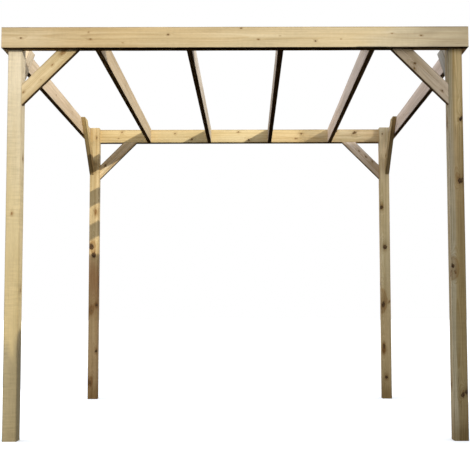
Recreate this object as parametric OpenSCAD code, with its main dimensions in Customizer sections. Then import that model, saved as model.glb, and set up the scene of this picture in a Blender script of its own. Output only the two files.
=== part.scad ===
// Free-standing wooden pergola: a flat roof of boards on four square posts.
// X runs along the front, Y from front to back, Z up. The origin is on the ground, under the middle.
// Four boards make an outer ring. The posts stand inside its corners, with their tops level with it.
// An inner beam between each pair of posts carries the rafters and rests on the cross braces.

/* [Frame] */
// Length of the front and back fascia boards, end to end
frame_width = 3000; // [2400:10:4800]
// Length of the side rails, which butt between the two fascia boards
side_rail_length = 3000; // [2400:10:4800]
// Height of the roof's level top above the ground
frame_height = 2640; // [2000:5:3200]

/* [Roof boards] */
// Depth of the fascia boards, side rails and rafters, top to bottom
board_depth = 135; // [95:1:200]
// Depth of the inner beams, which share the level of the other boards' undersides
inner_beam_depth = 125; // [90:1:200]
// Thickness of the front and back fascia boards
fascia_thick = 36; // [22:1:60]
// Thickness of the two side rails
side_rail_thick = 36; // [22:1:60]
// Thickness of the two inner beams
inner_beam_thick = 36; // [22:1:60]
// Thickness of the rafters
rafter_thick = 36; // [22:1:60]

/* [Posts] */
// Side of the square posts
post_side = 90; // [70:1:140]

/* [Knee braces] */
// Width of a brace's face, square to its length
brace_width = 95; // [60:1:120]
// Thickness of a brace
brace_thick = 36; // [22:1:50]
// Reach of a cross brace along the inner beam's underside, and down the post
cross_brace_reach = 365; // [250:5:600]
// Reach of a side brace along the side rail's top edge, and down the post
side_brace_reach = 465; // [250:5:600]

/* [Hidden] */
frame_length = side_rail_length + 2 * fascia_thick;
half_width = frame_width / 2;
half_length = frame_length / 2;
roof_underside = frame_height - board_depth;

// Distances from the middle to the posts' outer and inner faces
post_out_x = half_width - side_rail_thick;
post_in_x = post_out_x - post_side;
post_out_y = half_length - fascia_thick;
post_in_y = post_out_y - post_side;

// Rafters share the width evenly between the middles of the two side rails
rafter_count = 4;
rafter_pitch = (frame_width - side_rail_thick) / (rafter_count + 1);
rafter_reach_y = post_out_y - inner_beam_thick;

// A brace at 45 degrees: the level length of its cut ends
brace_cut = brace_width * sqrt(2);

FASCIA_COLOUR = "#D8BE92";
RAIL_COLOUR = "#C9AE8E";
BEAM_COLOUR = "#E0C08A";
RAFTER_COLOUR = "#C4A98C";
POST_COLOUR = "#D9C6A0";
BRACE_COLOUR = "#B99C72";

// Carries a piece drawn for the front right corner to the corner on the given sides
module at_corner(x_side, y_side) {
    mirror([x_side < 0 ? 1 : 0, 0, 0])
        mirror([0, y_side > 0 ? 1 : 0, 0])
            children();
}

// Fascia board: runs the full width and covers the ends of the side rails
module fascia(y_side) {
    color(FASCIA_COLOUR)
        at_corner(1, y_side)
            translate([-half_width, -half_length, roof_underside])
                cube([frame_width, fascia_thick, board_depth]);
}

// Side rail: butts between the two fascia boards, flush with their ends
module side_rail(x_side) {
    color(RAIL_COLOUR)
        at_corner(x_side, -1)
            translate([post_out_x, -post_out_y, roof_underside])
                cube([side_rail_thick, side_rail_length, board_depth]);
}

// Inner beam: fits between two posts, flat against the inside of the fascia board
module inner_beam(y_side) {
    color(BEAM_COLOUR)
        at_corner(1, y_side)
            translate([-post_in_x, -post_out_y, roof_underside])
                cube([2 * post_in_x, inner_beam_thick, inner_beam_depth]);
}

// Rafter: butts between the two inner beams, counted from the left
module rafter(number) {
    middle_x = -half_width + side_rail_thick / 2 + number * rafter_pitch;
    color(RAFTER_COLOUR)
        translate([middle_x - rafter_thick / 2, -rafter_reach_y, roof_underside])
            cube([rafter_thick, 2 * rafter_reach_y, board_depth]);
}

// Post: square, from the ground to the top of the roof, in an inside corner of the ring
module post(x_side, y_side) {
    color(POST_COLOUR)
        at_corner(x_side, y_side)
            translate([post_in_x, -post_out_y, 0])
                cube([post_side, post_side, frame_height]);
}

// Face of a brace, with its cut ends along both axes and its corner at the origin
module brace_face(reach) {
    polygon([
        [0, -reach],
        [reach, 0],
        [reach - brace_cut, 0],
        [0, brace_cut - reach]
    ]);
}

// Cross brace: from the post's inner side up to the underside of the inner beam
module cross_brace(x_side, y_side) {
    color(BRACE_COLOUR)
        at_corner(x_side, y_side)
            translate([post_in_x, -post_out_y, roof_underside])
                mirror([1, 0, 0])
                    translate([0, brace_thick, 0])
                        rotate([90, 0, 0])
                            linear_extrude(brace_thick)
                                brace_face(cross_brace_reach);
}

// Side brace: flat against the side rail's inner face, its top level with the rail's top
module side_brace(x_side, y_side) {
    color(BRACE_COLOUR)
        at_corner(x_side, y_side)
            translate([post_out_x - brace_thick, -post_in_y, frame_height])
                rotate([90, 0, 90])
                    linear_extrude(brace_thick)
                        brace_face(side_brace_reach);
}

fascia(-1);  // front_fascia
fascia(1);  // back_fascia
side_rail(-1);  // left_side_rail
side_rail(1);  // right_side_rail
inner_beam(-1);  // front_inner_beam
inner_beam(1);  // back_inner_beam
rafter(1);  // rafter_1
rafter(2);  // rafter_2
rafter(3);  // rafter_3
rafter(4);  // rafter_4
post(-1, -1);  // front_left_post
post(1, -1);  // front_right_post
post(-1, 1);  // back_left_post
post(1, 1);  // back_right_post
cross_brace(-1, -1);  // front_left_cross_brace
cross_brace(1, -1);  // front_right_cross_brace
cross_brace(-1, 1);  // back_left_cross_brace
cross_brace(1, 1);  // back_right_cross_brace
side_brace(-1, -1);  // front_left_side_brace
side_brace(1, -1);  // front_right_side_brace
side_brace(-1, 1);  // back_left_side_brace
side_brace(1, 1);  // back_right_side_brace
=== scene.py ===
# %% [markdown]
# A free-standing timber pergola. The CAD part gives every timber its true size and place, and this script
# gives each one the look of sawn, pressure-treated softwood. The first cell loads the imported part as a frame
# that never moves. Every timber made later reads its size and place from that frame, so none has to be
# fitted by eye.

# %% Load the frame
import math
import random

import bpy
import numpy as np
from mathutils import Matrix, Vector, noise


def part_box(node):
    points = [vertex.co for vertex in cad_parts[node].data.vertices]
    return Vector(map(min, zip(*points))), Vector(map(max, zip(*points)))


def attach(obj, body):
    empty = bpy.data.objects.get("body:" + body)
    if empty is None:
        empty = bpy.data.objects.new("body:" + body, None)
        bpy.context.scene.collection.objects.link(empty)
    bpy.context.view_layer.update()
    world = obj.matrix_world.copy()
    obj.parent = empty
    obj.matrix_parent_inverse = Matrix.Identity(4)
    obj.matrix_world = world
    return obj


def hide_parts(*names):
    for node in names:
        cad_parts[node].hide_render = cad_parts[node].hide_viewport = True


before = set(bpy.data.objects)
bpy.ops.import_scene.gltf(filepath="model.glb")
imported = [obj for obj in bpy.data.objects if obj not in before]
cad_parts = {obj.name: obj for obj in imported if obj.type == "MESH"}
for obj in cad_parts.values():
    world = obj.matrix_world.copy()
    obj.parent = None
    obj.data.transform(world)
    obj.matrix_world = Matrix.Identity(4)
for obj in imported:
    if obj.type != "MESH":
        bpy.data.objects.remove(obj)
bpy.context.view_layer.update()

# %% [markdown]
# The picture was taken from a low standpoint in front of the pergola, a little right of its middle, with the
# camera tipped up slightly. A camera could be placed by trial, but here its place, its tilt and its lens were
# worked out from the straight edges in the picture. The small shift slides the view without turning it, as a
# cropped print does.

# %% Camera
IMAGE_SIDE = 470
SENSOR = 36.0
FOCAL_PIXELS = 867.2
CENTRE_RIGHT_PIXELS = 12.8
CENTRE_DOWN_PIXELS = 25.0
CAMERA_PLACE = (0.080, -6.995, 0.764)
TILT_UP = math.radians(3.903)
ROLL = math.radians(-0.115)
VIEW_REACH = 2000


def put(name, data):
    """A new object in the scene, made from a lens, a lamp or a mesh."""
    thing = bpy.data.objects.new(name, data)
    bpy.context.scene.collection.objects.link(thing)
    return thing


lens = bpy.data.cameras.new("picture_camera")
lens.sensor_width = SENSOR
lens.lens = FOCAL_PIXELS / IMAGE_SIDE * SENSOR
lens.shift_x = -CENTRE_RIGHT_PIXELS / IMAGE_SIDE
lens.shift_y = CENTRE_DOWN_PIXELS / IMAGE_SIDE
lens.clip_end = VIEW_REACH
camera = put("picture_camera", lens)
aim = Matrix.Rotation(math.radians(90) + TILT_UP, 4, "X") @ Matrix.Rotation(ROLL, 4, "Z")
camera.matrix_world = Matrix.Translation(CAMERA_PLACE) @ aim
bpy.context.scene.camera = camera
print("camera: lens", round(lens.lens, 1), "mm, shift", round(lens.shift_x, 3), round(lens.shift_y, 3))

# %% [markdown]
# Shaders are graphs of nodes, and a graph takes many lines when each node is made by hand. This small helper
# adds a node, feeds its inputs with numbers or with other nodes' outputs, and hands back the output, so that
# a recipe further down reads almost like arithmetic.

# %% A helper for shader graphs
class Recipe:
    """Adds nodes to one node tree and returns their outputs."""

    def __init__(self, tree):
        self.tree = tree

    def node(self, kind, **settings):
        made = self.tree.nodes.new(kind)
        for name, value in settings.items():
            setattr(made, name, value)
        return made

    def feed(self, socket, value):
        if isinstance(value, bpy.types.NodeSocket):
            self.tree.links.new(value, socket)
        else:
            socket.default_value = value

    def fill(self, node, values):
        """Feeds several inputs of one node, found by their names."""
        for name, value in values.items():
            self.feed(node.inputs[name], value)

    def math(self, operation, *values, clamp=False):
        made = self.node("ShaderNodeMath", operation=operation, use_clamp=clamp)
        for socket, value in zip(made.inputs, values):
            self.feed(socket, value)
        return made.outputs[0]

    def times(self, first, second):
        return self.math("MULTIPLY", first, second)

    def vector(self, operation, *values):
        made = self.node("ShaderNodeVectorMath", operation=operation)
        for socket, value in zip(made.inputs, values):
            self.feed(socket, value)
        return made.outputs["Value" if operation in ("LENGTH", "DOT_PRODUCT", "DISTANCE") else "Vector"]

    def part(self, vector, axis):
        made = self.node("ShaderNodeSeparateXYZ")
        self.feed(made.inputs[0], vector)
        return made.outputs[axis]

    def ramp(self, value, low, high, to_low=0.0, to_high=1.0):
        """A smooth step from one level to another as value goes from low to high."""
        made = self.node("ShaderNodeMapRange", interpolation_type="SMOOTHSTEP")
        for socket, given in zip(made.inputs, (value, low, high, to_low, to_high)):
            self.feed(socket, given)
        return made.outputs["Result"]

    def swing(self, value, size, middle=0.0):
        """Noise from 0 to 1, turned into a swing of half the size to either side of a middle level."""
        return self.math("MULTIPLY_ADD", value, size, middle - size / 2)

    def bell(self, ratio, sharpness):
        """A bell curve: 1 at the middle, falling away as the ratio grows."""
        return self.math("EXPONENT", self.times(self.times(ratio, ratio), -sharpness))

    def noise(self, place, cells, detail=2.0, part="Fac"):
        """Cloudy noise, with the number of its cells per metre along, across and through the timber."""
        made = self.node("ShaderNodeTexNoise")
        self.feed(made.inputs["Vector"], self.vector("MULTIPLY", place, cells))
        made.inputs["Scale"].default_value = 1.0
        made.inputs["Detail"].default_value = detail
        return made.outputs[part]

    def blend(self, share, first, second, mode="MIX"):
        made = self.node("ShaderNodeMix", data_type="RGBA", blend_type=mode)
        colours = [s for s in made.inputs if s.type == "RGBA"]
        self.feed(made.inputs[0], share)
        self.feed(colours[0], first)
        self.feed(colours[1], second)
        return next(s for s in made.outputs if s.type == "RGBA")

    def tint(self, colour, share, tint):
        """A colour multiplied by a tint, as far as the share says."""
        return self.blend(share, colour, tint, "MULTIPLY")


def paint(red, green, blue):
    """A colour as it looks on a screen, 0 to 255, as the linear colour that shaders use."""
    shares = [c / 255 for c in (red, green, blue)]
    linear = [c / 12.92 if c <= 0.04045 else ((c + 0.055) / 1.055) ** 2.4 for c in shares]
    return (*linear, 1.0)


print("recipe helper ready")

# %% [markdown]
# The light is a plain studio set: a white dome that fills softly from all round, one key lamp on the front
# right that draws the rafters' shadows, and two broad panels, left and right. Near the horizon, behind the
# pergola, the dome is plain white: a brighter backdrop would eat into the timbers' edges. Higher up it is a
# bluish white, and it dims towards its top, so that shadows stay deep. Below the horizon it has only a faint
# brown glow, because the undersides of the boards are nearly black in the picture.

# %% Studio light
GROUND_GLOW = (0.010, 0.006, 0.002, 1.0)
BACKDROP = (1.0, 1.0, 1.0, 1.0)
SKY_MIDDLE = (1.26, 1.36, 1.56, 1.0)
SKY_TOP = (0.69, 0.725, 0.78, 1.0)
HORIZON_BAND = (-0.05, -0.015)
BLUISH_BAND = (0.37, 0.45)
DIMMING_BAND = (0.45, 0.80)
KEY_LEVEL = 3.05
KEY_COLOUR = (1.0, 0.97, 0.92)
KEY_SOFTNESS = math.radians(0.4)
KEY_TRAVEL = Vector((-0.78, 1.0, -0.43))
LEFT_PANEL = {"energy": 150.0, "travel": Vector((1, 0, -0.4)), "place": (-6.2, -0.5, 4.4)}
LEFT_PANEL_COLOUR = (0.90, 0.98, 1.12)
RIGHT_PANEL = {"energy": 40.0, "travel": Vector((-0.3, 1, -0.4)), "place": (3.6, -6.2, 4.4)}
PANEL_SIZE = 4.0


def add_lamp(name, kind, energy, travel, place=(0, 0, 0)):
    lamp = put(name, bpy.data.lights.new(name, kind))
    lamp.data.energy = energy
    lamp.location = place
    lamp.rotation_euler = travel.to_track_quat("-Z", "Y").to_euler()
    return lamp


world = bpy.data.worlds.new("white_dome")
world.use_nodes = True
world.node_tree.nodes.clear()
dome = Recipe(world.node_tree)
look_up = dome.part(dome.node("ShaderNodeTexCoord").outputs["Generated"], "Z")
sky = dome.node("ShaderNodeBackground")
white = dome.blend(dome.ramp(look_up, *HORIZON_BAND), GROUND_GLOW, BACKDROP)
bluish = dome.blend(dome.ramp(look_up, *BLUISH_BAND), white, SKY_MIDDLE)
dome.feed(sky.inputs["Color"], dome.blend(dome.ramp(look_up, *DIMMING_BAND), bluish, SKY_TOP))
dome.feed(dome.node("ShaderNodeOutputWorld").inputs["Surface"], sky.outputs[0])
bpy.context.scene.world = world
bpy.context.scene.view_settings.view_transform = "Standard"

key_lamp = add_lamp("key_lamp", "SUN", KEY_LEVEL, KEY_TRAVEL)
key_lamp.data.angle = KEY_SOFTNESS
key_lamp.data.color = KEY_COLOUR
left_panel = add_lamp("left_panel", "AREA", **LEFT_PANEL)
left_panel.data.color = LEFT_PANEL_COLOUR
right_panel = add_lamp("right_panel", "AREA", **RIGHT_PANEL)
for panel in (left_panel, right_panel):
    panel.data.size = PANEL_SIZE
    panel.visible_camera = False
print("light: key", KEY_LEVEL, "panels", left_panel.data.energy, right_panel.data.energy)

# %% [markdown]
# In the picture the roof is in full light, but the right-hand posts and the foot of the back left post stand
# in shade. A photographer does this with a flag: a black card between the lamp and the object. Its outline is
# drawn on the upright plane through the pergola's middle, where its shadow is easy to picture, and is then
# slid back towards the lamp. It only stops the lamp's rays, so it shows in no view. A second, narrow flag
# takes the light off the inner side of the front left post's foot. The right end of the back beam is in half
# shade. For that a photographer hangs a net, and here a row of thin slats does the same: they stand so far
# off that their shadows run together.

# %% Flags and net
CARD_FOOT = -0.9
FLAG_AWAY = 2.2
FLAG_OUTLINE = [(-0.42, CARD_FOOT), (-0.42, 1.85), (-0.23, 1.85), (-0.22, 1.846), (0.32, 1.848), (0.42, 1.94),
                (1.45, 2.75), (2.03, 3.11), (2.455, 3.12), (2.47, 3.34), (2.9, 3.34), (2.9, CARD_FOOT)]
FOOT_FLAG_AWAY = 4.0
FOOT_FLAG_OUTLINE = [(-2.545, CARD_FOOT), (-2.545, 0.02), (-2.50, 0.09), (-2.40, 0.09), (-2.40, CARD_FOOT)]
NET_AWAY = 8.0
NET_LEFT, NET_RIGHT = 1.74, 2.47
NET_LOW, NET_HIGH = 3.0, 3.4
NET_PITCH = 0.024
NET_SLAT = 0.013


def add_card(name, away, outlines):
    """A card that only stops the lamp's rays, from outlines on the plane through the pergola's middle."""
    mesh = bpy.data.meshes.new(name)
    corners = [Vector((x, 0, z)) - away * KEY_TRAVEL for outline in outlines for x, z in outline]
    counts = np.cumsum([0] + [len(outline) for outline in outlines])
    mesh.from_pydata(corners, [], [tuple(range(a, b)) for a, b in zip(counts[:-1], counts[1:])])
    card = put(name, mesh)
    for ray in ("camera", "diffuse", "glossy", "transmission", "volume_scatter"):
        setattr(card, "visible_" + ray, False)
    print(name + ":", len(outlines), "outlines", away, "m towards the lamp")


add_card("flag", FLAG_AWAY, [FLAG_OUTLINE])
add_card("foot_flag", FOOT_FLAG_AWAY, [FOOT_FLAG_OUTLINE])
slats = [[(x, NET_LOW), (x + NET_SLAT, NET_LOW), (x + NET_SLAT, NET_HIGH), (x, NET_HIGH)]
         for x in np.arange(NET_LEFT, NET_RIGHT, NET_PITCH)]
add_card("net", NET_AWAY, slats)

# %% [markdown]
# The floor is a broad pale sheet, lit a little from within like a light table, so that it stays white and
# takes only faint shadows at the posts' feet. It is kept out of the bounced light, so that the undersides
# stay dark.

# %% Pale floor
FLOOR_REACH = 900.0
FLOOR_TONES = (paint(245, 245, 244), paint(249, 249, 248))
FLOOR_CELLS = (1.5, 1.5, 1.5)
FLOOR_ROUGHNESS = 0.9
FLOOR_GLOW = 0.25

floor_mesh = bpy.data.meshes.new("pale_floor")
floor_corners = [(sx * FLOOR_REACH, sy * FLOOR_REACH, 0) for sx, sy in ((-1, -1), (1, -1), (1, 1), (-1, 1))]
floor_mesh.from_pydata(floor_corners, [], [(0, 1, 2, 3)])
floor = put("pale_floor", floor_mesh)
floor_coat = bpy.data.materials.new("pale_floor")
floor_coat.use_nodes = True
coat = Recipe(floor_coat.node_tree)
mottle = coat.noise(coat.node("ShaderNodeNewGeometry").outputs["Position"], FLOOR_CELLS)
coat.fill(floor_coat.node_tree.nodes["Principled BSDF"], {
    "Base Color": coat.blend(mottle, *FLOOR_TONES), "Roughness": FLOOR_ROUGHNESS, "Specular IOR Level": 0.0,
    "Emission Color": (1.0, 1.0, 1.0, 1.0), "Emission Strength": FLOOR_GLOW})
floor_mesh.materials.append(floor_coat)
floor.visible_diffuse = False
floor.visible_glossy = False
print("floor:", 2 * FLOOR_REACH, "m square")

# %% [markdown]
# Each timber has its own small set of axes: along its length, across its face and through its thickness.
# Working in these axes means that one builder can make a post, a board or a sloping brace. For straight
# timbers the axes come from the CAD box. A brace slopes at 45 degrees, so its width is read from the cut on
# the post side of its CAD mesh.

# %% A timber's own axes
UP = Vector((0, 0, 1))
RIGHT = Vector((1, 0, 0))
BACK = Vector((0, 1, 0))
AXIS_SLACK = 0.1
ON_PLANE = 1e-4


class Timber:
    """Size of one timber, and the matrix that carries it from its own axes to its place in the frame."""

    def __init__(self, node, along, across, start, length, width, thick, skew=0.0):
        self.node = node
        self.length = length
        self.width = width
        self.thick = thick
        self.skew = skew
        self.lies_level = abs(along.z) < AXIS_SLACK
        self.stands_upright = along.z > 1 - AXIS_SLACK
        self.across = across
        self.through = along.cross(across)
        turn = Matrix((along, across, self.through)).transposed()
        self.place = Matrix.Translation(start) @ turn.to_4x4()


def straight_timber(node, along, across):
    low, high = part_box(node)
    size = high - low
    middle = (low + high) / 2
    length, width = abs(size.dot(along)), abs(size.dot(across))
    thick = abs(size.dot(along.cross(across)))
    return Timber(node, along, across, middle - along * length / 2, length, width, thick)


def brace_timber(node, inward, plane_normal):
    """A brace that rises from its post along inward, with its face in the plane that the normal gives."""
    low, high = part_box(node)
    middle = (low + high) / 2
    reach = high.z - low.z
    toward_post = -inward
    post_side = middle + toward_post * reach / 2
    corners = [v.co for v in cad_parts[node].data.vertices]
    on_post = [c.z for c in corners if abs((c - post_side).dot(inward)) < ON_PLANE]
    cut = max(on_post) - min(on_post)
    along = (inward + UP).normalized()
    across = (toward_post + UP).normalized()
    width = cut / math.sqrt(2)
    thick = abs((high - low).dot(plane_normal))
    start = Vector((post_side.x, post_side.y, low.z + cut / 2))
    return Timber(node, along, across, start, reach * math.sqrt(2) - width, width, thick, skew=1.0)


timbers = {}
for end in ("front", "back"):
    timbers[end + "_fascia"] = straight_timber(end + "_fascia", RIGHT, UP)
    timbers[end + "_inner_beam"] = straight_timber(end + "_inner_beam", RIGHT, UP)
for side in ("left", "right"):
    timbers[side + "_side_rail"] = straight_timber(side + "_side_rail", BACK, UP)
for number in (1, 2, 3, 4):
    timbers[f"rafter_{number}"] = straight_timber(f"rafter_{number}", BACK, UP)
for end, to_middle_y in (("front", BACK), ("back", -BACK)):
    for side, to_middle_x in (("left", RIGHT), ("right", -RIGHT)):
        corner = f"{end}_{side}"
        timbers[corner + "_post"] = straight_timber(corner + "_post", UP, RIGHT)
        timbers[corner + "_cross_brace"] = brace_timber(corner + "_cross_brace", to_middle_x, BACK)
        timbers[corner + "_side_brace"] = brace_timber(corner + "_side_brace", to_middle_y, RIGHT)

# %% [markdown]
# A sawn timber isn't a perfect box. Its long edges, which a joiner calls arrises, are rounded over and wander
# a little, its faces dip by fractions of a millimetre, and as it dries it opens into long splits called
# checks. A bevelled cube could show the rounding but none of the rest, so the surface is built as a skin: a
# ring of points round the section, repeated along the length. Where a check runs, the ring has five points
# close together, for its two lips and the groove between them.

# %% The ring of points round a section
ROUND_OVER = {"post": 0.0020, "board": 0.0012}
ARC_STEPS = 4
SHOULDER = 0.006
SHOULDER_SHARE = 0.7
FACE_STEP = 0.015
CHECK_SPREAD = (-0.005, -0.0012, 0.0, 0.0012, 0.005)
CHECK_MIDDLE = len(CHECK_SPREAD) // 2
CHECK_ROOM = 0.007


def section_ring(width, thick, round_over, checks):
    """Points round the section: across, through, outward direction, arris share, check number, check step."""
    half = (width / 2, thick / 2)
    ring = []
    for quarter in range(4):
        facing = quarter * math.pi / 2 - math.pi / 2
        out = (round(math.cos(facing)), round(math.sin(facing)))
        run = (-out[1], out[0])
        reach = half[0] if out[0] else half[1]
        flat = (half[1] if out[0] else half[0]) - round_over
        steps = max(1, round(2 * (flat - SHOULDER) / FACE_STEP))
        spots = [(-flat, SHOULDER_SHARE, -1, 0)]
        for spot in np.linspace(SHOULDER - flat, flat - SHOULDER, steps + 1):
            if all(abs(spot - c["across"]) > CHECK_ROOM or c["face"] != quarter for c in checks):
                spots.append((spot, 0.0, -1, 0))
        for index, check in enumerate(checks):
            if check["face"] == quarter:
                groove = enumerate(CHECK_SPREAD, start=-CHECK_MIDDLE)
                spots += [(check["across"] + offset, 0.0, index, step) for step, offset in groove]
        spots.append((flat, SHOULDER_SHARE, -1, 0))
        for spot, arris, check, step in sorted(spots):
            point = (out[0] * reach + run[0] * spot, out[1] * reach + run[1] * spot)
            ring.append((*point, *out, arris, check, step))
        inset = reach - round_over
        middle = (out[0] * inset + run[0] * flat, out[1] * inset + run[1] * flat)
        for n in range(1, ARC_STEPS):
            turn = facing + n / ARC_STEPS * math.pi / 2
            out_now = (math.cos(turn), math.sin(turn))
            point = (middle[0] + round_over * out_now[0], middle[1] + round_over * out_now[1])
            ring.append((*point, *out_now, 1.0, -1, 0))
    return np.array(ring)


post = timbers["front_left_post"]
print("post ring:", len(section_ring(post.width, post.thick, ROUND_OVER["post"], [])), "points")

# %% [markdown]
# A check opens from nothing, is deepest in its middle and closes again, and it wanders a little with the
# grain. It could be cut out with a boolean, which leaves ragged faces. Moving points that the ring has
# already keeps the skin whole. Each check takes its wander from a row of the noise of its own.

# %% A drying check
CHECK_TAPER = 0.6
CHECK_WANDER = 0.004
WANDER_CELLS = 2.2
WANDER_ROWS = 50
WANDER_LAYER = 3.7


def check_shape(check, along):
    """The share of its depth that a check has at a distance along, and how far it wanders sideways."""
    share = (along - check["from"]) / (check["to"] - check["from"])
    inside = 0.0 < share < 1.0
    opening = math.sin(math.pi * share) ** CHECK_TAPER if inside else 0.0
    spot = Vector((along * WANDER_CELLS, check["across"] * WANDER_ROWS, WANDER_LAYER))
    return opening, CHECK_WANDER * noise.noise(spot)


print("a check wanders by up to", 1000 * CHECK_WANDER, "mm")

# %% [markdown]
# Now the ring is carried along the timber. Smooth noise moves each point a little in or out, more at the
# arrises than on the faces, and a timber may bow slightly between its ends. At a check the middle point sinks
# and the lips stay. Three values are stored on the mesh for the wood material: the place inside the tree, how
# near an arris is, and whether the point is on a sawn end. The arris value also says how much dirt an arris
# holds, so it is lower on a post, and lowest under a level board.

# %% The skin of a timber
STATION_STEP = 0.020
FEWEST_STATIONS = 4
END_CHAMFER = 0.0007
FACE_DIP = 0.0003
ARRIS_DIP = 0.0004
ARRIS_LOSS = 0.5
DIP_CELLS_ALONG, DIP_CELLS_ACROSS = 5, 40
DIP_SEED_STEP = 3.1
LIP_STILL = 0.5
LOWER_SOIL = 0.2
UPRIGHT_SOIL = 0.45


def skin_faces(count, rows):
    """Faces between neighbouring rings of points, with a lid at each end."""
    faces = [tuple(range(count - 1, -1, -1))]
    for row in range(rows - 1):
        base = row * count
        for n in range(count):
            after = (n + 1) % count
            faces.append((base + n, base + after, base + count + after, base + count + n))
    faces.append(tuple(range((rows - 1) * count, rows * count)))
    return faces


def timber_mesh(timber, seed, pith, round_over, bow, checks):
    ring = section_ring(timber.width, timber.thick, round_over, checks)
    stations = max(FEWEST_STATIONS, round(timber.length / STATION_STEP))
    fractions = np.linspace(END_CHAMFER, timber.length - END_CHAMFER, stations) / timber.length
    rows = [(0.0, True)] + [(f, False) for f in fractions] + [(1.0, True)]
    points, arrises, ends = [], [], []
    for fraction, is_end in rows:
        belly = 4 * fraction * (1 - fraction)
        shapes = [check_shape(c, fraction * timber.length) for c in checks]
        for across, through, out_a, out_t, arris, check, step in ring:
            low = timber.skew * across
            high = timber.length - timber.skew * across
            along = low + fraction * (high - low)
            spot = Vector((along * DIP_CELLS_ALONG + seed * DIP_SEED_STEP, across * DIP_CELLS_ACROSS,
                           through * DIP_CELLS_ACROSS))
            dip = (FACE_DIP + ARRIS_DIP * arris) * (noise.noise(spot) - ARRIS_LOSS * arris)
            if is_end:
                dip -= END_CHAMFER
            drift = 0.0
            if check >= 0:
                opening, wander = shapes[int(check)]
                drift = wander * (1.0 - LIP_STILL * abs(step) / CHECK_MIDDLE)
                if step == 0:
                    dip -= checks[int(check)]["depth"] * opening
            a = across + out_a * dip - out_t * drift + bow[0] * belly
            t = through + out_t * dip + out_a * drift + bow[1] * belly
            points.append((along, a, t))
            if timber.stands_upright:
                arris *= UPRIGHT_SOIL
            elif timber.lies_level and across < 0:
                arris *= LOWER_SOIL
            arrises.append(arris)
            ends.append(1.0 if is_end else 0.0)
    mesh = bpy.data.meshes.new("sawn_" + timber.node)
    mesh.from_pydata(points, [], skin_faces(len(ring), len(rows)))
    in_tree = np.array(points) - np.array((0.0, *pith))
    mesh.attributes.new("tree_place", "FLOAT_VECTOR", "POINT").data.foreach_set("vector", in_tree.ravel())
    mesh.attributes.new("arris", "FLOAT", "POINT").data.foreach_set("value", arrises)
    mesh.attributes.new("sawn_end", "FLOAT", "POINT").data.foreach_set("value", ends)
    return mesh


print("skin builder: a ring every", 1000 * STATION_STEP, "mm")

# %% [markdown]
# A knot is a branch that the trunk grew round. Inside the timber it is a cone that starts at the pith, the
# tree's centre line, and widens outward to its full girth. The growth rings bulge round it, in an eye that is
# long along the grain. A painted spot would show on one face only, so the node group below works out, for
# any point in the wood, how far that point is from one branch. A branch that was alive leaves a warm brown
# knot, and a dead one leaves a black knot with a rim of bark. Groups are chained, one for each knot, and each
# passes on the strongest knot so far, its rim, its dark halo, and the sum of the bulges.

# %% One knot
KNOT_TRAITS = dict.fromkeys(("Bulge", "Knot", "Rim", "Halo", "Dead"), "Float")
KNOT_INPUTS = {"Place": "Vector", "Along": "Float", "Heading": "Vector", "Slope": "Float", "Girth": "Float",
               "Eye": "Float", "Black": "Float"}
THIN_END = 0.0005
AHEAD_BAND = (0.001, 0.006)
WOBBLE = 1.7
WOBBLE_CELLS = (70, 95, 95)
CORE_EDGE = (0.80, 1.05)
RIM_INSIDE = (0.65, 0.95)
RIM_OUTSIDE = (1.0, 1.3)
EYE_STRETCH = (0.42, 1.0, 1.0)
EYE_SHARE = 1.2
EYE_WOBBLE = 0.25
EYE_SHARPNESS = 0.2
BULGE_HEIGHT = 1.2
HALO_WOBBLE = 0.7
HALO_SHARPNESS = 0.35


def new_group(name, inputs, outputs):
    """An empty node group whose inputs and outputs have the given names and kinds."""
    group = bpy.data.node_groups.new(name, "ShaderNodeTree")
    for in_out, sockets in (("INPUT", inputs), ("OUTPUT", outputs)):
        for socket, kind in sockets.items():
            group.interface.new_socket(socket, in_out=in_out, socket_type="NodeSocket" + kind)
    return group


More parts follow.
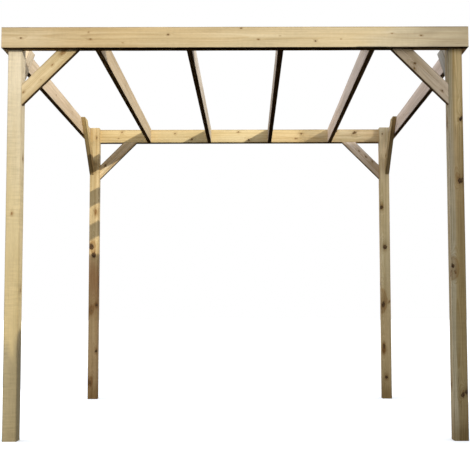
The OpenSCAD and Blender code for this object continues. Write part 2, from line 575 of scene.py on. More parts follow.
def knot_group():
    group = new_group("branch_knot", KNOT_INPUTS | KNOT_TRAITS, KNOT_TRAITS)
    r = Recipe(group)
    given = r.node("NodeGroupInput").outputs
    result = r.node("NodeGroupOutput").inputs
    foot = r.node("ShaderNodeCombineXYZ")
    r.feed(foot.inputs["X"], given["Along"])
    arm = r.vector("SUBTRACT", given["Place"], foot.outputs[0])
    outward = r.vector("DOT_PRODUCT", arm, given["Heading"])
    spoke = r.node("ShaderNodeVectorMath", operation="SCALE")
    r.feed(spoke.inputs["Vector"], given["Heading"])
    r.feed(spoke.inputs["Scale"], outward)
    aside = r.vector("SUBTRACT", arm, spoke.outputs["Vector"])
    cone = r.math("MINIMUM", r.times(outward, given["Slope"]), given["Girth"])
    radius = r.math("MAXIMUM", cone, THIN_END)
    ahead = r.ramp(outward, *AHEAD_BAND)
    wobble = r.swing(r.noise(given["Place"], WOBBLE_CELLS, 3.0), WOBBLE)
    ratio = r.math("ADD", r.math("DIVIDE", r.vector("LENGTH", aside), radius), wobble)
    knot = r.times(r.ramp(ratio, *CORE_EDGE, 1.0, 0.0), ahead)
    rim = r.times(r.ramp(ratio, *RIM_INSIDE), r.ramp(ratio, *RIM_OUTSIDE, 1.0, 0.0))
    bark = r.times(r.times(rim, ahead), given["Black"])
    dead = r.times(knot, given["Black"])
    eye = r.times(given["Eye"], r.math("DIVIDE", radius, given["Girth"]))
    spread = r.math("DIVIDE", r.vector("LENGTH", r.vector("MULTIPLY", aside, EYE_STRETCH)), eye)
    eye_ratio = r.math("MULTIPLY_ADD", wobble, EYE_WOBBLE, spread)
    rise = r.times(r.bell(eye_ratio, EYE_SHARPNESS), eye)
    bulge = r.times(r.times(rise, ahead), BULGE_HEIGHT)
    far_ratio = r.math("MULTIPLY_ADD", spread, EYE_SHARE, r.times(wobble, HALO_WOBBLE))
    halo = r.times(r.bell(far_ratio, HALO_SHARPNESS), ahead)
    r.feed(result["Bulge"], r.math("ADD", given["Bulge"], bulge))
    for name, mask in (("Knot", knot), ("Rim", bark), ("Dead", dead), ("Halo", halo)):
        r.feed(result[name], r.math("MAXIMUM", given[name], mask))
    return group


branch_knot = knot_group()
print("knot group:", len(branch_knot.nodes), "nodes")

# %% [markdown]
# Softwood is striped because each year's growth starts pale and ends dark. Stripes painted on each face
# would not meet at the corners. Here the colour depends on the distance from the pith instead, as in a real
# log, so the rings run through the timber: they show as arcs on a sawn end and as long flames on a face.
# Near the pith lies the browner heartwood, feathered along the grain and darkest at its border. The trunk is
# never quite straight, so slow noise moves the pith, and each knot's bulge pushes the rings out.

# %% Growth rings
RING_WIDTH = 0.0048
PITH_WANDER = 0.034
RING_RIPPLE = 0.0026
HEART_REACH = 0.033
HEART_FADE = 0.006
HEART_FEATHER = 0.012
HEART_BORDER = 0.0050
HEART_INSIDE_SHARE, HEART_BORDER_SHARE = 0.42, 0.45
PITH_CELLS = (0.9, 0, 0)
RIPPLE_CELLS = (3.5, 26, 26)
FEATHER_CELLS = (6, 70, 70)
LATE_START = (0.25, 0.90)
LATE_STOP = (0.93, 1.0)


def growth_rings(r, place, own, bulge):
    """Share of dark late wood and share of heartwood, each 0 to 1, at a place in the tree."""
    drift = r.vector("SUBTRACT", r.noise(own, PITH_CELLS, 1.0, "Color"), (0.5, 0.5, 0.5))
    bent = r.vector("ADD", place, r.vector("MULTIPLY", drift, (0.0, PITH_WANDER, PITH_WANDER)))
    from_pith = r.vector("LENGTH", r.vector("MULTIPLY", bent, (0.0, 1.0, 1.0)))
    ripple = r.swing(r.noise(own, RIPPLE_CELLS), RING_RIPPLE)
    grown = r.math("SUBTRACT", r.math("ADD", from_pith, ripple), bulge)
    year = r.math("FRACT", r.math("DIVIDE", grown, RING_WIDTH))
    late = r.times(r.ramp(year, *LATE_START), r.ramp(year, *LATE_STOP, 1.0, 0.0))
    feather = r.swing(r.noise(own, FEATHER_CELLS, 3.0), HEART_FEATHER)
    depth = r.math("SUBTRACT", HEART_REACH, r.math("ADD", grown, feather))
    inside = r.times(r.ramp(depth, -HEART_FADE, HEART_FADE), HEART_INSIDE_SHARE)
    border = r.bell(r.math("DIVIDE", depth, HEART_BORDER), 1.0)
    return late, r.math("MULTIPLY_ADD", border, HEART_BORDER_SHARE, inside, clamp=True)


print("growth rings:", 1000 * RING_WIDTH, "mm a year")

# %% [markdown]
# Between the rings, wood is a bundle of fibres. Noise that is squeezed across the timber and stretched along
# it gives streaks that follow the grain. Kept only where it crosses its middle value, such noise leaves thin
# broken lines: the hairline checks that open in every timber as it dries.

# %% Hairline checks
HAIRLINE = 0.010
LINE_CELLS = (0.55, 60, 60)
LINE_PATCH_CELLS = (2.3, 14, 14)
LINE_PATCH_EDGE = (0.52, 0.66)


def hairlines(r, own):
    """Thin lines along the grain, 1 in a line and 0 elsewhere."""
    crossing = r.math("ABSOLUTE", r.math("SUBTRACT", r.noise(own, LINE_CELLS, 1.0), 0.5))
    thin = r.ramp(crossing, 0.0, HAIRLINE, 1.0, 0.0)
    patches = r.ramp(r.noise(own, LINE_PATCH_CELLS, 1.0), *LINE_PATCH_EDGE)
    return r.times(thin, patches)


print("hairline checks ready")

# %% [markdown]
# A saw leaves faint ridges square to the length. They show best on the posts, as broken pale bands about a
# centimetre apart. A sine along the timber would make ridges as even as a comb, so they come from noise that
# is stretched across the timber, and slower noise wipes them out in patches.

# %% Saw marks
SAW_PITCH = 0.013
SAW_CELLS = (1 / SAW_PITCH, 9, 9)
SAW_EDGE = (0.30, 0.70)
SAW_PATCH_CELLS = (3, 9, 9)
SAW_PATCH_EDGE = (0.30, 0.60)


def saw_marks(r, own):
    """Ridges from -1 to 1 across the timber."""
    ridges = r.ramp(r.noise(own, SAW_CELLS, 3.0), *SAW_EDGE, -1.0, 1.0)
    patches = r.ramp(r.noise(own, SAW_PATCH_CELLS, 1.0), *SAW_PATCH_EDGE)
    return r.times(ridges, patches)


print("saw marks:", 1000 * SAW_PITCH, "mm apart")

# %% [markdown]
# The colour starts from the timber's own tone. Late wood, streaks and heartwood tint it, clouds, fibres and
# saw marks vary its level, and a thin weather film greys it in patches. One flat colour with stripes would
# look printed, so nearly all of these are soft tints that multiply what is under them. Only a knot's core and
# its bark cover it.

# %% Colour of sawn softwood
LATE_TINT = paint(214, 201, 176)
HEART_TINT = paint(212, 184, 146)
HALO_TINT = paint(176, 148, 106)
FILM_TINT = paint(208, 206, 190)
LINE_TINT = paint(150, 128, 104)
KNOT_LIVE = (paint(116, 87, 51), paint(160, 125, 80))
KNOT_DEAD = (paint(54, 38, 23), paint(104, 76, 46))
KNOT_RIM = paint(46, 33, 22)
RIM_SHARE = 0.7
LATE_SHARE, STREAK_SHARE = 0.40, 0.50
STREAK_CELLS, STREAK_EDGE = (0.75, 46, 46), (0.32, 0.68)
GRAIN_LEVEL = 1.09
CLOUD_CELLS, CLOUD_SWING = (1.7, 7, 7), 0.36
FIBRE_SWING = 0.22
FUZZ_CELLS, FUZZ_SWING = (34, 90, 90), 0.20
SAW_SHARE = 0.05
FILM_CELLS, FILM_EDGE = (1.1, 11, 11), (0.35, 0.70)
HALO_STREAKS = 0.7
SPECKLE_CELLS, SPECKLE_EDGE = (90, 160, 160), (0.35, 0.65)


def grain_colour(r, given, streak, late, heart, fibre, saw):
    """The wood's own colour, striped by the grain and lightened or darkened from place to place."""
    striped = r.times(streak, STREAK_SHARE)
    stripes = r.math("MULTIPLY_ADD", late, LATE_SHARE, striped, clamp=True)
    stripes = r.times(stripes, given["Stripe"])
    wood = r.tint(given["Wood"], stripes, LATE_TINT)
    wood = r.tint(wood, r.times(heart, given["Heart"]), HEART_TINT)
    level = r.swing(r.noise(given["Own"], CLOUD_CELLS), CLOUD_SWING, GRAIN_LEVEL)
    level = r.math("ADD", level, r.swing(fibre, FIBRE_SWING))
    level = r.math("ADD", level, r.swing(r.noise(given["Own"], FUZZ_CELLS), FUZZ_SWING))
    return r.tint(wood, 1.0, r.math("MULTIPLY_ADD", saw, SAW_SHARE, level))


def softwood_colour(r, given, late, heart, fibre, lines, saw):
    """The grain with weather film, hairlines, knots and their halos over it."""
    streak = r.ramp(r.noise(given["Own"], STREAK_CELLS, 3.0), *STREAK_EDGE)
    wood = grain_colour(r, given, streak, late, heart, fibre, saw)
    film = r.ramp(r.noise(given["Own"], FILM_CELLS, 3.0), *FILM_EDGE)
    wood = r.tint(wood, r.times(given["Film"], film), FILM_TINT)
    wood = r.tint(wood, r.times(lines, given["Stripe"]), LINE_TINT)
    streaked = r.math("MULTIPLY_ADD", streak, HALO_STREAKS, 1 - HALO_STREAKS)
    wood = r.tint(wood, r.times(given["Halo"], streaked), HALO_TINT)
    speckle = r.ramp(r.noise(given["Place"], SPECKLE_CELLS), *SPECKLE_EDGE)
    core = r.blend(given["Dead"], r.blend(speckle, *KNOT_LIVE), r.blend(speckle, *KNOT_DEAD))
    wood = r.blend(given["Knot"], wood, core)
    return r.blend(r.times(given["Rim"], RIM_SHARE), wood, KNOT_RIM)


print("softwood colour ready")

# %% [markdown]
# Wear goes on top of the wood: handling soils the arrises, sawn ends drink up dirt, and a post is darker
# towards its foot. Painted shade goes on here too: the undersides of the fascia boards and the cross braces
# are darkened for the shade under them. Each is a soft mask that multiplies the colour by a dull tint.

# %% Wear and painted underside shade
ARRIS_SOIL = paint(158, 146, 124)
END_SOIL = paint(205, 190, 168)
FOOT_TINT = paint(200, 190, 172)
UNDERSIDE_SHADE_TINT = paint(132, 114, 90)
RUB_CELLS, RUB_EDGE = (6, 60, 60), (0.20, 0.55)
FOOT_CELLS, FOOT_RAGGED = (9, 30, 30), 0.16
FOOT_EDGE = (0.06, 0.34)
UNDERSIDE_SHADE_EDGE = (-0.60, -0.45)


def softwood_wear_and_shade(r, given, wood):
    rubbed = r.ramp(r.noise(given["Own"], RUB_CELLS), *RUB_EDGE)
    wood = r.tint(wood, r.times(given["Arris"], rubbed), ARRIS_SOIL)
    wood = r.tint(wood, given["Sawn end"], END_SOIL)
    # A post is darker towards its foot, up to a ragged edge.
    ragged = r.noise(given["Own"], FOOT_CELLS, 3.0)
    foot_reach = r.math("MULTIPLY_ADD", ragged, FOOT_RAGGED, r.part(given["Place"], "X"))
    foot_darkening = r.times(given["Foot"], r.ramp(foot_reach, *FOOT_EDGE, 1.0, 0.0))
    wood = r.tint(wood, foot_darkening, FOOT_TINT)
    # Painted shade: faces turned downwards on the fascias and cross braces are darkened for the shade under
    # them.
    facing = r.part(r.node("ShaderNodeNewGeometry").outputs["Normal"], "Z")
    underside_shade = r.times(given["Underside shade"], r.ramp(facing, *UNDERSIDE_SHADE_EDGE, 1.0, 0.0))
    return r.tint(wood, underside_shade, UNDERSIDE_SHADE_TINT)


print("wear ready")

# %% [markdown]
# The parts come together in one group, so that all the timbers share a recipe and differ only in what is fed
# to it: the wood's colour, the knots, how much weather film, sawing and soil the timber shows, and how much
# painted shade darkens its undersides. The same masks make roughness and relief: late wood is hard and stands
# a little proud, fibres and saw ridges catch the light, and hairlines and the bark round a knot sink in. The
# relief is in metres, so the bump node further down gives ridges of their true height.

# %% Sawn softwood group
SOFTWOOD_INPUTS = {"Place": "Vector", "Own": "Vector", "Wood": "Color", **KNOT_TRAITS}
SOFTWOOD_INPUTS |= dict.fromkeys(
    ("Arris", "Sawn end", "Stripe", "Heart", "Film", "Saw", "Foot", "Underside shade"), "Float")
SOFTWOOD_OUTPUTS = {"Colour": "Color", "Roughness": "Float", "Relief": "Float"}
FIBRE_CELLS = (7, 420, 420)
ROUGHNESS = 0.62
FIBRE_ROUGHNESS, LATE_ROUGHNESS = 0.16, -0.10
RELIEF = {"late": 0.00012, "fibre": 0.00016, "saw": 0.00010, "lines": -0.0006, "rim": -0.0004}


def softwood_group():
    group = new_group("sawn_softwood", SOFTWOOD_INPUTS, SOFTWOOD_OUTPUTS)
    r = Recipe(group)
    given = r.node("NodeGroupInput").outputs
    result = r.node("NodeGroupOutput").inputs
    late, heart = growth_rings(r, given["Place"], given["Own"], given["Bulge"])
    fibre = r.noise(given["Own"], FIBRE_CELLS)
    lines = hairlines(r, given["Own"])
    saw = r.times(saw_marks(r, given["Own"]), given["Saw"])
    wood = softwood_colour(r, given, late, heart, fibre, lines, saw)
    r.feed(result["Colour"], softwood_wear_and_shade(r, given, wood))
    rough = r.math("MULTIPLY_ADD", fibre, FIBRE_ROUGHNESS, ROUGHNESS)
    r.feed(result["Roughness"], r.math("MULTIPLY_ADD", late, LATE_ROUGHNESS, rough))
    relief = 0.0
    masks = {"late": late, "fibre": fibre, "saw": saw, "lines": lines, "rim": given["Rim"]}
    for name, mask in masks.items():
        relief = r.math("MULTIPLY_ADD", mask, RELIEF[name], relief)
    r.feed(result["Relief"], relief)
    return group


sawn_softwood = softwood_group()
print("softwood group:", len(sawn_softwood.nodes), "nodes")

# %% [markdown]
# A knot is marked by the spot where it shows on a face, because that is what a picture gives. The branch is
# drawn back from that spot to the pith, rising on the way, and its numbers go to one knot group, which is
# hung on the end of the chain.

# %% From a spot to a branch
SIDES = {"front": -BACK, "back": BACK, "left": -RIGHT, "right": RIGHT, "top": UP, "under": -UP}


def knot_spot(timber, side, along, offset):
    """A spot on one side of a timber, in the timber's own axes."""
    to_across = SIDES[side].dot(timber.across)
    to_through = SIDES[side].dot(timber.through)
    if abs(to_across) > abs(to_through):
        return Vector((along, math.copysign(timber.width / 2, to_across), offset))
    return Vector((along, offset, math.copysign(timber.thick / 2, to_through)))


def add_knot(r, place, knot, pith, so_far):
    spot, radius, eye, rise, black = knot
    arm = Vector((0.0, spot.y - pith[0], spot.z - pith[1]))
    heading = Vector((rise * arm.length, arm.y, arm.z))
    made = r.node("ShaderNodeGroup", node_tree=branch_knot)
    r.fill(made, {"Place": place, "Along": spot.x - heading.x, "Heading": heading.normalized(),
                  "Slope": radius / heading.length, "Girth": radius, "Eye": eye, "Black": black, **so_far})
    return {name: made.outputs[name] for name in so_far}


print("sides:", ", ".join(SIDES))

# %% [markdown]
# No timber is one colour from end to end, so a colour ramp along its length passes from tone to tone, and
# noise shifts the borders, which would otherwise be straight. The front right post's left side is painted
# lighter and greyer, for the bluish sky light that falls on it; the painted light reaches a little way into
# the wood.

# %% Tone along a timber
TONE_CELLS, TONE_SHIFT = (2.5, 9, 9), 0.3
# Painted light: the front right post's left side, and a strip of its front next to it, is painted lighter and
# greyer.
PAINTED_SKYLIGHT_SIDES = {"front_right_post": ("left", (203, 191, 163))}
SKYLIGHT_CELLS, SKYLIGHT_RAGGED = (1.5, 30, 30), 0.03
SKYLIGHT_DEEP, SKYLIGHT_SHALLOW = 0.040, 0.014


def tone_along(r, timber, place, own, tones):
    """The wood's own colour along a timber, from its tones and their shares of the length."""
    shift = r.swing(r.noise(own, TONE_CELLS), TONE_SHIFT)
    share = r.math("ADD", r.math("DIVIDE", r.part(place, "X"), timber.length), shift)
    ramp = r.node("ShaderNodeValToRGB")
    r.feed(ramp.inputs[0], share)
    stops = ramp.color_ramp.elements
    while len(stops) < len(tones):
        stops.new(0.5)
    for stop, (reach, tone) in zip(stops, tones):
        stop.position = reach
        stop.color = paint(*tone)
    return ramp.outputs["Color"]


def painted_skylight(r, timber, pith, place, own, colour, side, tint):
    """The colour with one side painted lighter and greyer for bluish sky light, reaching a little way into the
    wood.
    """
    surface = knot_spot(timber, side, 0.0, 0.0)
    toward = surface.normalized()
    from_pith = surface.length - toward.dot(Vector((0.0, *pith)))
    ragged = r.swing(r.noise(own, SKYLIGHT_CELLS), SKYLIGHT_RAGGED)
    reach = r.math("ADD", r.vector("DOT_PRODUCT", place, toward), ragged)
    skylit_share = r.ramp(reach, from_pith - SKYLIGHT_DEEP, from_pith - SKYLIGHT_SHALLOW)
    return r.blend(skylit_share, colour, paint(*tint))


print("bleached:", ", ".join(PAINTED_SKYLIGHT_SIDES))

# %% [markdown]
# Each timber gets a material of its own, made by one function: it reads the values stored on the mesh, runs
# the chain of knots, and feeds the softwood recipe. One shared material would be simpler, but then all the
# timbers would have the same knots. The seed moves the noise, so that no two timbers have the same grain.

# %% A material for one timber
GRAIN_SEED_STEP = (7.3, 1.9, 2.7)
SHEEN = 0.12


def timber_wood(timber, seed, pith, tones, knots, traits):
    material = bpy.data.materials.new(timber.node + "_softwood")
    material.use_nodes = True
    r = Recipe(material.node_tree)
    stored = {name: r.node("ShaderNodeAttribute", attribute_name=name)
              for name in ("tree_place", "arris", "sawn_end")}
    place = stored["tree_place"].outputs["Vector"]
    own = r.vector("ADD", place, [seed * step for step in GRAIN_SEED_STEP])
    so_far = dict.fromkeys(KNOT_TRAITS, 0.0)
    for knot in knots:
        so_far = add_knot(r, place, knot, pith, so_far)
    colour = tone_along(r, timber, place, own, tones)
    if timber.node in PAINTED_SKYLIGHT_SIDES:
        colour = painted_skylight(r, timber, pith, place, own, colour, *PAINTED_SKYLIGHT_SIDES[timber.node])
    recipe = r.node("ShaderNodeGroup", node_tree=sawn_softwood)
    r.fill(recipe, {"Place": place, "Own": own, "Wood": colour, "Arris": stored["arris"].outputs["Fac"],
                    "Sawn end": stored["sawn_end"].outputs["Fac"], **so_far, **traits})
    bump = r.node("ShaderNodeBump")
    r.fill(bump, {"Strength": 1.0, "Distance": 1.0, "Height": recipe.outputs["Relief"]})
    r.fill(material.node_tree.nodes["Principled BSDF"], {
        "Base Color": recipe.outputs["Colour"], "Roughness": recipe.outputs["Roughness"],
        "Specular IOR Level": SHEEN, "Normal": bump.outputs["Normal"]})
    return material


print("material maker ready")

# %% [markdown]
# Now the finish of each timber. The tones are mostly the wood's own colour in even light, set and adjusted to
# agree with the picture: yellowish fascia boards, a creamy front left post, a warm back beam, pinkish rafters
# and rails, and olive posts on the right. A few tones also carry painted shade or painted light, as noted at
# each. Before each tone stands its place, as a share of the timber's length.

# %% Tones
TONES = {
    # Painted shade: the front fascia's last tones, towards its right end, are darker for the half shade there.
    "front_fascia": [(0.05, (195, 176, 140)), (0.2, (192, 169, 127)), (0.5, (197, 179, 142)),
                     (0.75, (193, 176, 140)), (0.82, (189, 176, 147)), (0.96, (157, 145, 120))],
    "back_fascia": [(0.3, (206, 187, 148)), (0.8, (198, 180, 146))],
    "front_inner_beam": [(0.3, (206, 185, 142)), (0.8, (212, 192, 152))],
    "back_inner_beam": [(0.05, (202, 179, 130)), (0.5, (216, 196, 150)), (0.76, (216, 190, 140)),
                        (0.85, (224, 206, 165)), (0.97, (212, 187, 146))],
    "left_side_rail": [(0.3, (220, 200, 173)), (0.8, (215, 193, 161))],
    "right_side_rail": [(0.3, (223, 206, 195)), (0.8, (217, 200, 185))],
    "rafter_1": [(0.3, (209, 189, 158)), (0.8, (206, 187, 155))],
    "rafter_2": [(0.3, (207, 195, 179)), (0.8, (199, 186, 166))],
    "rafter_3": [(0.3, (184, 167, 148)), (0.8, (180, 162, 142))],
    "rafter_4": [(0.3, (216, 200, 187)), (0.8, (235, 213, 193))],
    # Painted shade: the front left post's first tone, over its lowest fifth or so, is darker for half shade.
    "front_left_post": [(0.21, (155, 141, 108)), (0.285, (184, 165, 121)), (0.6, (191, 174, 134)),
                        (0.88, (210, 196, 167))],
    # Painted shade: the front right post's first tone is darker for the deeper shade at its foot.
    "front_right_post": [(0.05, (161, 144, 106)), (0.35, (195, 174, 130)), (0.6, (184, 159, 115)),
                         (0.85, (231, 205, 152))],
    "back_left_post": [(0.08, (186, 156, 113)), (0.25, (198, 168, 122)), (0.43, (178, 138, 96)),
                       (0.58, (204, 181, 136))],
    # Painted light: the back right post's tone near 0.88 is brighter, to lift the shade just under the beam.
    "back_right_post": [(0.1, (202, 180, 138)), (0.3, (209, 187, 145)), (0.5, (225, 207, 166)),
                        (0.75, (238, 217, 171)), (0.88, (249, 229, 189)), (0.94, (226, 210, 172)),
                        (0.985, (207, 194, 162))],
    "front_left_cross_brace": [(0.25, (204, 184, 145)), (0.75, (192, 173, 132))],
    "front_right_cross_brace": [(0.25, (226, 207, 181)), (0.75, (223, 202, 171))],
    # Painted light and shade: the back left cross brace is pale at its foot, where the lamp lights it, darker
    # above.
    "back_left_cross_brace": [(0.12, (229, 210, 172)), (0.35, (204, 184, 153))],
    "back_right_cross_brace": [(0.3, (216, 200, 181)), (0.6, (250, 235, 220))],
    "front_left_side_brace": [(0.3, (215, 197, 169)), (0.7, (221, 205, 180))],
    # Painted shade: the front right side brace has a grey tone for the bluish shade it stands in.
    "front_right_side_brace": [(0.3, (160, 156, 148)), (0.7, (164, 159, 150))],
    "back_left_side_brace": [(0.2, (180, 153, 106)), (0.7, (196, 173, 122))],
    "back_right_side_brace": [(0.2, (182, 160, 118)), (0.7, (192, 168, 120))],
}
SLOTS = {"fascia": "fascia_timber", "side_rail": "rail_timber", "inner_beam": "beam_timber",
         "rafter": "rafter_timber", "post": "post_timber", "brace": "brace_timber"}


def family(node):
    return next(name for name in SLOTS if name in node)


print("tones for", len(TONES), "timbers")

# %% [markdown]
# The knots on the fronts are listed where the picture shows them. Those on the posts' other sides
# are only roughly placed or made up. A knot has its distance along, its offset from the middle of its side,
# its radius, how steeply the branch rose, and how dead it was, from 0 to 1. A steep branch is cut at a slant
# and leaves a long knot. A branch that stops short of the face shows no knot, only the flame of heartwood
# that bulges over it, so a flame needs just a place and a reach.

# %% Knots and flames in the picture
SEEN_KNOTS = {
    "front_fascia": {"front": [
        (0.126, -0.004, 0.0048, 0.4, 0.6), (0.560, 0.034, 0.0030, 1.2, 0.0),
        (0.571, -0.013, 0.0042, 0.3, 0.2), (0.781, -0.038, 0.0030, 1.0, 0.0),
        (1.070, 0.017, 0.0048, 0.8, 0.6), (1.540, 0.057, 0.0030, 0.5, 0.6),
        (1.651, -0.017, 0.0032, 0.4, 0.2), (1.790, 0.007, 0.0026, 0.3, 0.0),
        (2.018, -0.028, 0.0048, 0.5, 0.8), (2.182, -0.016, 0.0020, 0.3, 0.0),
        (2.510, 0.021, 0.0030, 0.6, 0.3), (2.696, 0.008, 0.0038, 0.9, 0.5)]},
    "front_left_post": {
        "front": [(1.438, -0.006, 0.007, 1.0, 0.0)],
        "right": [(0.95, 0.0, 0.010, 0.4, 0.3), (1.80, 0.01, 0.011, 0.4, 0.6)]},
    "front_right_post": {
        "front": [
            (2.045, 0.030, 0.008, 1.5, 1.0), (1.644, 0.020, 0.014, 0.4, 0.9),
            (1.10, -0.037, 0.009, 1.2, 0.9), (1.06, -0.022, 0.007, 1.5, 0.3),
            (0.305, 0.037, 0.011, 0.5, 1.0), (0.287, 0.012, 0.010, 1.2, 0.9)],
        "left": [
            (2.02, 0.015, 0.012, 0.3, 0.6), (1.05, -0.02, 0.018, 0.8, 0.2), (0.35, 0.01, 0.010, 0.3, 0.5)],
        "right": [(2.16, -0.01, 0.014, 0.4, 0.5)]},
    "back_left_post": {
        "front": [
            (2.54, 0.020, 0.005, 0.2, 1.0), (1.816, 0.020, 0.006, 1.2, 0.0),
            (1.468, -0.020, 0.021, 0.9, 1.0), (1.385, 0.002, 0.017, 1.2, 1.0),
            (0.903, 0.034, 0.010, 0.3, 0.9), (0.849, -0.014, 0.008, 0.9, 0.2),
            (0.46, 0.034, 0.011, 0.3, 0.9), (0.16, -0.026, 0.010, 1.4, 0.4)],
        "right": [(1.1, 0.0, 0.012, 0.4, 0.5)]},
    "back_right_post": {
        "front": [
            (2.575, -0.018, 0.006, 0.2, 0.8), (1.849, -0.035, 0.017, 0.4, 0.8),
            (1.459, -0.006, 0.018, 0.5, 0.8), (0.93, 0.030, 0.007, 1.2, 0.0),
            (0.898, -0.028, 0.015, 1.6, 0.9), (0.50, -0.026, 0.009, 2.5, 0.8),
            (0.204, -0.006, 0.012, 0.3, 1.0)],
        "left": [(1.1, 0.01, 0.012, 0.4, 0.5)]},
    "back_inner_beam": {"front": [
        (0.214, 0.040, 0.008, 0.6, 0.0), (0.181, -0.020, 0.004, 0.4, 0.0), (0.738, 0.027, 0.006, 0.4, 0.2),
        (0.902, -0.032, 0.010, 0.6, 0.3), (1.363, 0.043, 0.0065, 0.5, 0.0),
        (1.466, -0.040, 0.010, 0.5, 0.3), (1.984, 0.024, 0.008, 0.4, 0.4), (1.931, -0.026, 0.006, 0.4, 0.2),
        (2.331, 0.047, 0.008, 0.4, 0.6), (2.508, 0.031, 0.011, 1.6, 0.5)]},
    "front_left_cross_brace": {"front": [
        (0.021, 0.004, 0.0045, 0.3, 0.4), (0.157, -0.017, 0.003, 0.3, 0.2), (0.277, 0.0, 0.004, 0.4, 0.0),
        (0.385, 0.010, 0.013, 0.8, 0.0)]},
    "front_right_cross_brace": {"front": [
        (0.294, -0.009, 0.008, 0.3, 0.3), (0.272, -0.035, 0.007, 0.3, 0.2),
        (0.044, -0.013, 0.005, 0.3, 0.5)]},
    "back_left_cross_brace": {"front": [(0.087, 0.014, 0.007, 0.8, 0.5)]},
    "back_right_cross_brace": {"front": [
        (0.286, 0.010, 0.005, 2.5, 0.0), (0.199, 0.016, 0.005, 2.5, 0.2), (0.120, 0.030, 0.004, 1.5, 0.2)]},
}
SEEN_FLAMES = {
    "front_right_post": [("front", 1.06, -0.030, 0.020)],
    "back_left_post": [
        ("front", 1.80, 0.022, 0.018), ("front", 0.84, -0.026, 0.023), ("front", 0.15, -0.032, 0.023)],
    "back_right_post": [("front", 0.89, -0.045, 0.040), ("front", 0.46, -0.028, 0.018)],
}
print("knots marked by hand:", sum(len(k) for seen in SEEN_KNOTS.values() for k in seen.values()))

# %% [markdown]
# Each timber gets a few more knots at random on its other sides, because a branch doesn't choose the side
# that faces a camera. A post may have them all round, and a board has them on the face away from its pith.
# The random numbers start from a fixed seed, so that every run gives the same pergola.

# %% All the knots of a timber
KNOTS_PER_METRE = {"fascia": 1.0, "side_rail": 0.8, "inner_beam": 0.8, "rafter": 0.8, "post": 1.6,
                   "brace": 3.0}
POST_SIDES = ("front", "back", "left", "right")
ALONG_SHARES = (0.05, 0.95)
OFFSETS, RADII, RISES, DEADNESS = (-0.02, 0.02), (0.004, 0.013), (0.1, 0.9), (0.0, 1.0)
BURIED_RADIUS, BURIED_RISE = 0.001, 0.3


def side_facing(direction):
    """The name of the side that a direction points to most."""
    return max(SIDES, key=lambda side: SIDES[side].dot(direction))


def random_knot(timber, free, draw):
    """A knot on one of the free sides, described as the marked ones are."""
    side = draw.choice(free)
    along = draw.uniform(*ALONG_SHARES) * timber.length
    return (side, along, *[draw.uniform(*limits) for limits in (OFFSETS, RADII, RISES, DEADNESS)])


def timber_knots(timber, pith, draw):
    """The marked knots, the random ones and the flames: spot, radius, eye, rise and share of black."""
    seen = SEEN_KNOTS.get(timber.node, {})
    marks = [(side, *knot) for side, knots in seen.items() for knot in knots]
    from_pith = -math.copysign(1, pith[1]) * timber.through
    sides = POST_SIDES if family(timber.node) == "post" else [side_facing(from_pith)]
    free = [side for side in sides if side not in seen]
    if free:
        count = round(timber.length * KNOTS_PER_METRE[family(timber.node)])
        marks += [random_knot(timber, free, draw) for n in range(count)]
    knots = [(knot_spot(timber, side, along, offset), radius, EYE_SHARE * radius, rise, black)
             for side, along, offset, radius, rise, black in marks]
    flames = [(knot_spot(timber, side, along, offset), BURIED_RADIUS, reach, BURIED_RISE, 0.0)
              for side, along, offset, reach in SEEN_FLAMES.get(timber.node, [])]
    return knots + flames


print("random knots per metre:", KNOTS_PER_METRE)

# %% [markdown]
# Every timber draws its pith, its bow and its checks from its own seed. A post is cut round the pith, and a
# board is cut from one side of it, which is why boards show flames and posts show straight lines near their
# edges. A board with marked knots has its pith behind them. The back right post's pith is given, near the
# corner where the picture shows flames. The picture shows no open check on a post's front.

# %% Pith and checks by chance
SEEN_PITHS = {"back_right_post": (-0.030, 0.010)}
POST_PITH = (-0.014, 0.014)
BOARD_PITH_ACROSS = (-0.03, 0.03)
BOARD_PITH_BEHIND = (0.012, 0.05)
RIGHT_FACE, BACK_FACE, LEFT_FACE = 1, 2, 3
CHECKS_PER_POST = 2
CHECK_STARTS, CHECK_LENGTHS = (0.1, 1.3), (0.5, 1.1)
CHECK_OFFSETS, CHECK_DEPTHS = (-0.02, 0.02), (0.004, 0.008)


def post_checks(draw):
    """Checks on two of a post's faces other than the front."""
    checks = []
    for face in draw.sample((RIGHT_FACE, BACK_FACE, LEFT_FACE), CHECKS_PER_POST):
        low = draw.uniform(*CHECK_STARTS)
        checks.append({"face": face, "across": draw.uniform(*CHECK_OFFSETS), "from": low,
                       "to": low + draw.uniform(*CHECK_LENGTHS), "depth": draw.uniform(*CHECK_DEPTHS)})
    return checks


def find_pith(timber, draw):
    """The pith, across and through, from the timber's centre line."""
    if family(timber.node) == "post":
        pith = (draw.uniform(*POST_PITH), draw.uniform(*POST_PITH))
        return SEEN_PITHS.get(timber.node, pith)
    side = draw.choice((-1, 1))
    for seen_side in SEEN_KNOTS.get(timber.node, {}):
        side = -math.copysign(1, SIDES[seen_side].dot(timber.through))
    return (draw.uniform(*BOARD_PITH_ACROSS), side * (timber.thick / 2 + draw.uniform(*BOARD_PITH_BEHIND)))


print("checks per post:", CHECKS_PER_POST)

# %% [markdown]
# The traits say how strongly each part of the recipe shows. The posts are plainly striped and sawn, the
# boards are smoother, and a few timbers in the picture stand out: the front left post is pale and clean with
# strong saw marks, and the back cross braces are streaky.

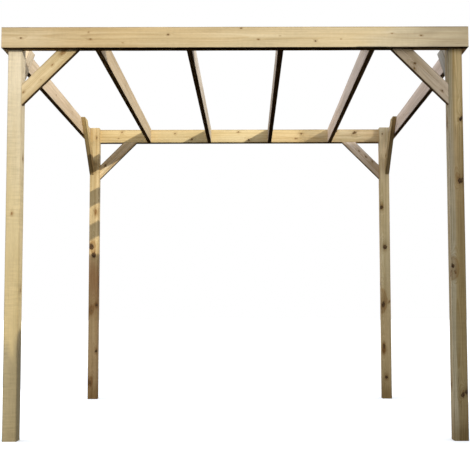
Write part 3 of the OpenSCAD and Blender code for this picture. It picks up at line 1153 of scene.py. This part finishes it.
# %% Traits
TRAITS = {"post": {"Stripe": 0.9, "Heart": 0.9, "Film": 0.6, "Saw": 0.8, "Foot": 1.0},
          "board": {"Stripe": 0.8, "Heart": 0.3, "Film": 0.4, "Saw": 0.4, "Foot": 0.0}}
OWN_TRAITS = {"front_left_post": {"Stripe": 0.2, "Heart": 0.15, "Film": 0.3, "Saw": 2.0, "Foot": 0.3},
              "front_right_post": {"Stripe": 1.2}, "front_fascia": {"Stripe": 0.7},
              "back_left_cross_brace": {"Stripe": 1.2}, "back_right_cross_brace": {"Stripe": 1.3}}
# Painted shade: these timbers get darkened undersides.
SHADED_UNDERSIDES = ("fascia", "cross_brace")


def timber_traits(timber, kind):
    underside_shade = 1.0 if timber.node.endswith(SHADED_UNDERSIDES) else 0.0
    return TRAITS[kind] | {"Underside shade": underside_shade} | OWN_TRAITS.get(timber.node, {})


print("timbers with traits of their own:", ", ".join(OWN_TRAITS))

# %% [markdown]
# Last, the timbers themselves. The skin is made in the timber's own axes and carried to its place in the
# frame. Edges that turn less sharply than the angle below are shaded smooth, so the rounded arrises look
# round and the checks and sawn ends stay crisp. Each piece then replaces its CAD node and rides on the frame.

# %% Make the timbers
SMOOTH_BELOW = math.radians(35)
BOW_ACROSS, BOW_THROUGH = (-0.0004, 0.0004), (-0.0008, 0.0008)


def make_timber(timber, seed):
    kind = "post" if family(timber.node) == "post" else "board"
    draw = random.Random(seed)
    pith = find_pith(timber, draw)
    bow = (draw.uniform(*BOW_ACROSS), draw.uniform(*BOW_THROUGH))
    checks = post_checks(draw) if kind == "post" else []
    mesh = timber_mesh(timber, seed, pith, ROUND_OVER[kind], bow, checks)
    mesh.transform(timber.place)
    mesh.shade_smooth()
    mesh.set_sharp_from_angle(angle=SMOOTH_BELOW)
    knots = timber_knots(timber, pith, draw)
    traits = timber_traits(timber, kind)
    mesh.materials.append(timber_wood(timber, seed, pith, TONES[timber.node], knots, traits))
    piece = put("sawn_" + timber.node, mesh)
    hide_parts(timber.node)
    SLOTS[family(timber.node)]
    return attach(piece, "root")


for seed, timber in enumerate(timbers.values(), start=1):
    piece = make_timber(timber, seed)
    print(piece.name, len(piece.data.polygons), "faces")
